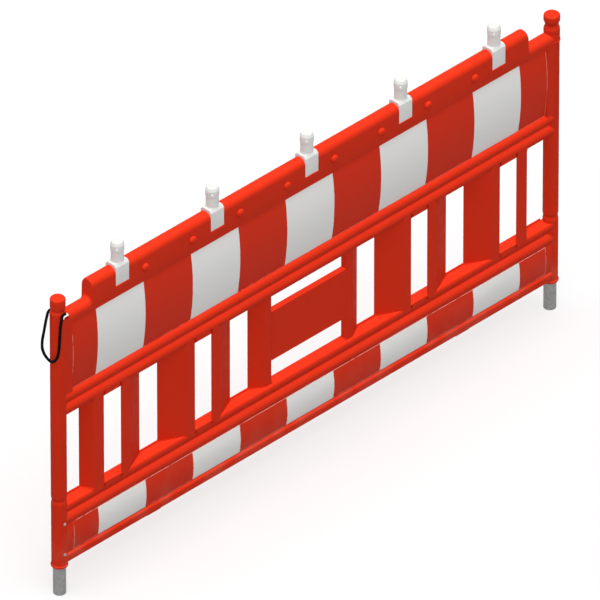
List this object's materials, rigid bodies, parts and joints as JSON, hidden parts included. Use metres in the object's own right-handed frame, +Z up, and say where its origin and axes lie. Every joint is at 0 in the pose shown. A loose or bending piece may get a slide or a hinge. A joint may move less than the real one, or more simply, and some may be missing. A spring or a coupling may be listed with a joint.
{
  "type": "plastic barrier board",
  "caption": "Red plastic road barrier board with striped reflective film, slats, hand grip, round end posts with steel foot tubes, a coupling cord and lift-off lamp adapters on the rail.",
  "frame": {"origin": "midway between the two posts, on the plane of the foot tubes' lower ends", "axes": "+X along the board towards the knob post, +Y from the front face to the back, +Z up"},
  "size_m": [2.173, 0.0685, 1.167],
  "materials": {
    "red_plastic": "moulded polyethylene, faint grain",
    "grey_plastic": "moulded, smooth",
    "reflective_film": "white and red printed retro-reflective film, honeycomb cells",
    "galvanised_steel": "galvanised, dull",
    "black_cord": "braided cord, black"
  },
  "bodies": {
    "board": {"top_rail": "red_plastic", "upper_board": "red_plastic", "left_end_block": "red_plastic", "right_end_block": "red_plastic", "middle_rail": "red_plastic", "lower_rail": "red_plastic", "toe_board": "red_plastic", "bottom_rail": "red_plastic", "grip_plate": "red_plastic", "left_outer_slat": "red_plastic", "right_outer_slat": "red_plastic", "left_second_slat": "red_plastic", "right_second_slat": "red_plastic", "left_third_slat": "red_plastic", "right_third_slat": "red_plastic", "left_fourth_slat": "red_plastic", "right_fourth_slat": "red_plastic", "left_centre_bar": "red_plastic", "right_centre_bar": "red_plastic", "left_post": "red_plastic", "left_foot_sleeve": "red_plastic", "left_foot_tube": "galvanised_steel", "right_post": "red_plastic", "right_foot_sleeve": "red_plastic", "right_foot_tube": "galvanised_steel", "left_cap": "red_plastic", "right_knob": "red_plastic", "dome_plug_1": "red_plastic", "dome_plug_2": "red_plastic", "dome_plug_3": "red_plastic", "dome_plug_4": "red_plastic", "dome_plug_5": "red_plastic", "dome_plug_6": "red_plastic", "dome_plug_7": "red_plastic", "dome_plug_8": "red_plastic", "left_tube_screw_lower": "galvanised_steel", "left_tube_screw_upper": "galvanised_steel", "right_tube_screw_lower": "galvanised_steel", "right_tube_screw_upper": "galvanised_steel", "upper_film_front": "reflective_film", "upper_film_back": "reflective_film", "lower_film_front": "reflective_film", "lower_film_back": "reflective_film", "coupling_cord": "black_cord"},
    "lamp_adapter_1": {"lamp_adapter_1": "grey_plastic"},
    "lamp_adapter_2": {"lamp_adapter_2": "grey_plastic"},
    "lamp_adapter_3": {"lamp_adapter_3": "grey_plastic"},
    "lamp_adapter_4": {"lamp_adapter_4": "grey_plastic"},
    "lamp_adapter_5": {"lamp_adapter_5": "grey_plastic"}
  },
  "joints": [
    {"name": "lamp_adapter_1_lift", "type": "slide", "parent": "board", "child": "lamp_adapter_1", "axis": [0, 0, 1], "range_m": [0, 0.08]},
    {"name": "lamp_adapter_2_lift", "type": "slide", "parent": "board", "child": "lamp_adapter_2", "axis": [0, 0, 1], "range_m": [0, 0.08]},
    {"name": "lamp_adapter_3_lift", "type": "slide", "parent": "board", "child": "lamp_adapter_3", "axis": [0, 0, 1], "range_m": [0, 0.08]},
    {"name": "lamp_adapter_4_lift", "type": "slide", "parent": "board", "child": "lamp_adapter_4", "axis": [0, 0, 1], "range_m": [0, 0.08]},
    {"name": "lamp_adapter_5_lift", "type": "slide", "parent": "board", "child": "lamp_adapter_5", "axis": [0, 0, 1], "range_m": [0, 0.08]}
  ]
}
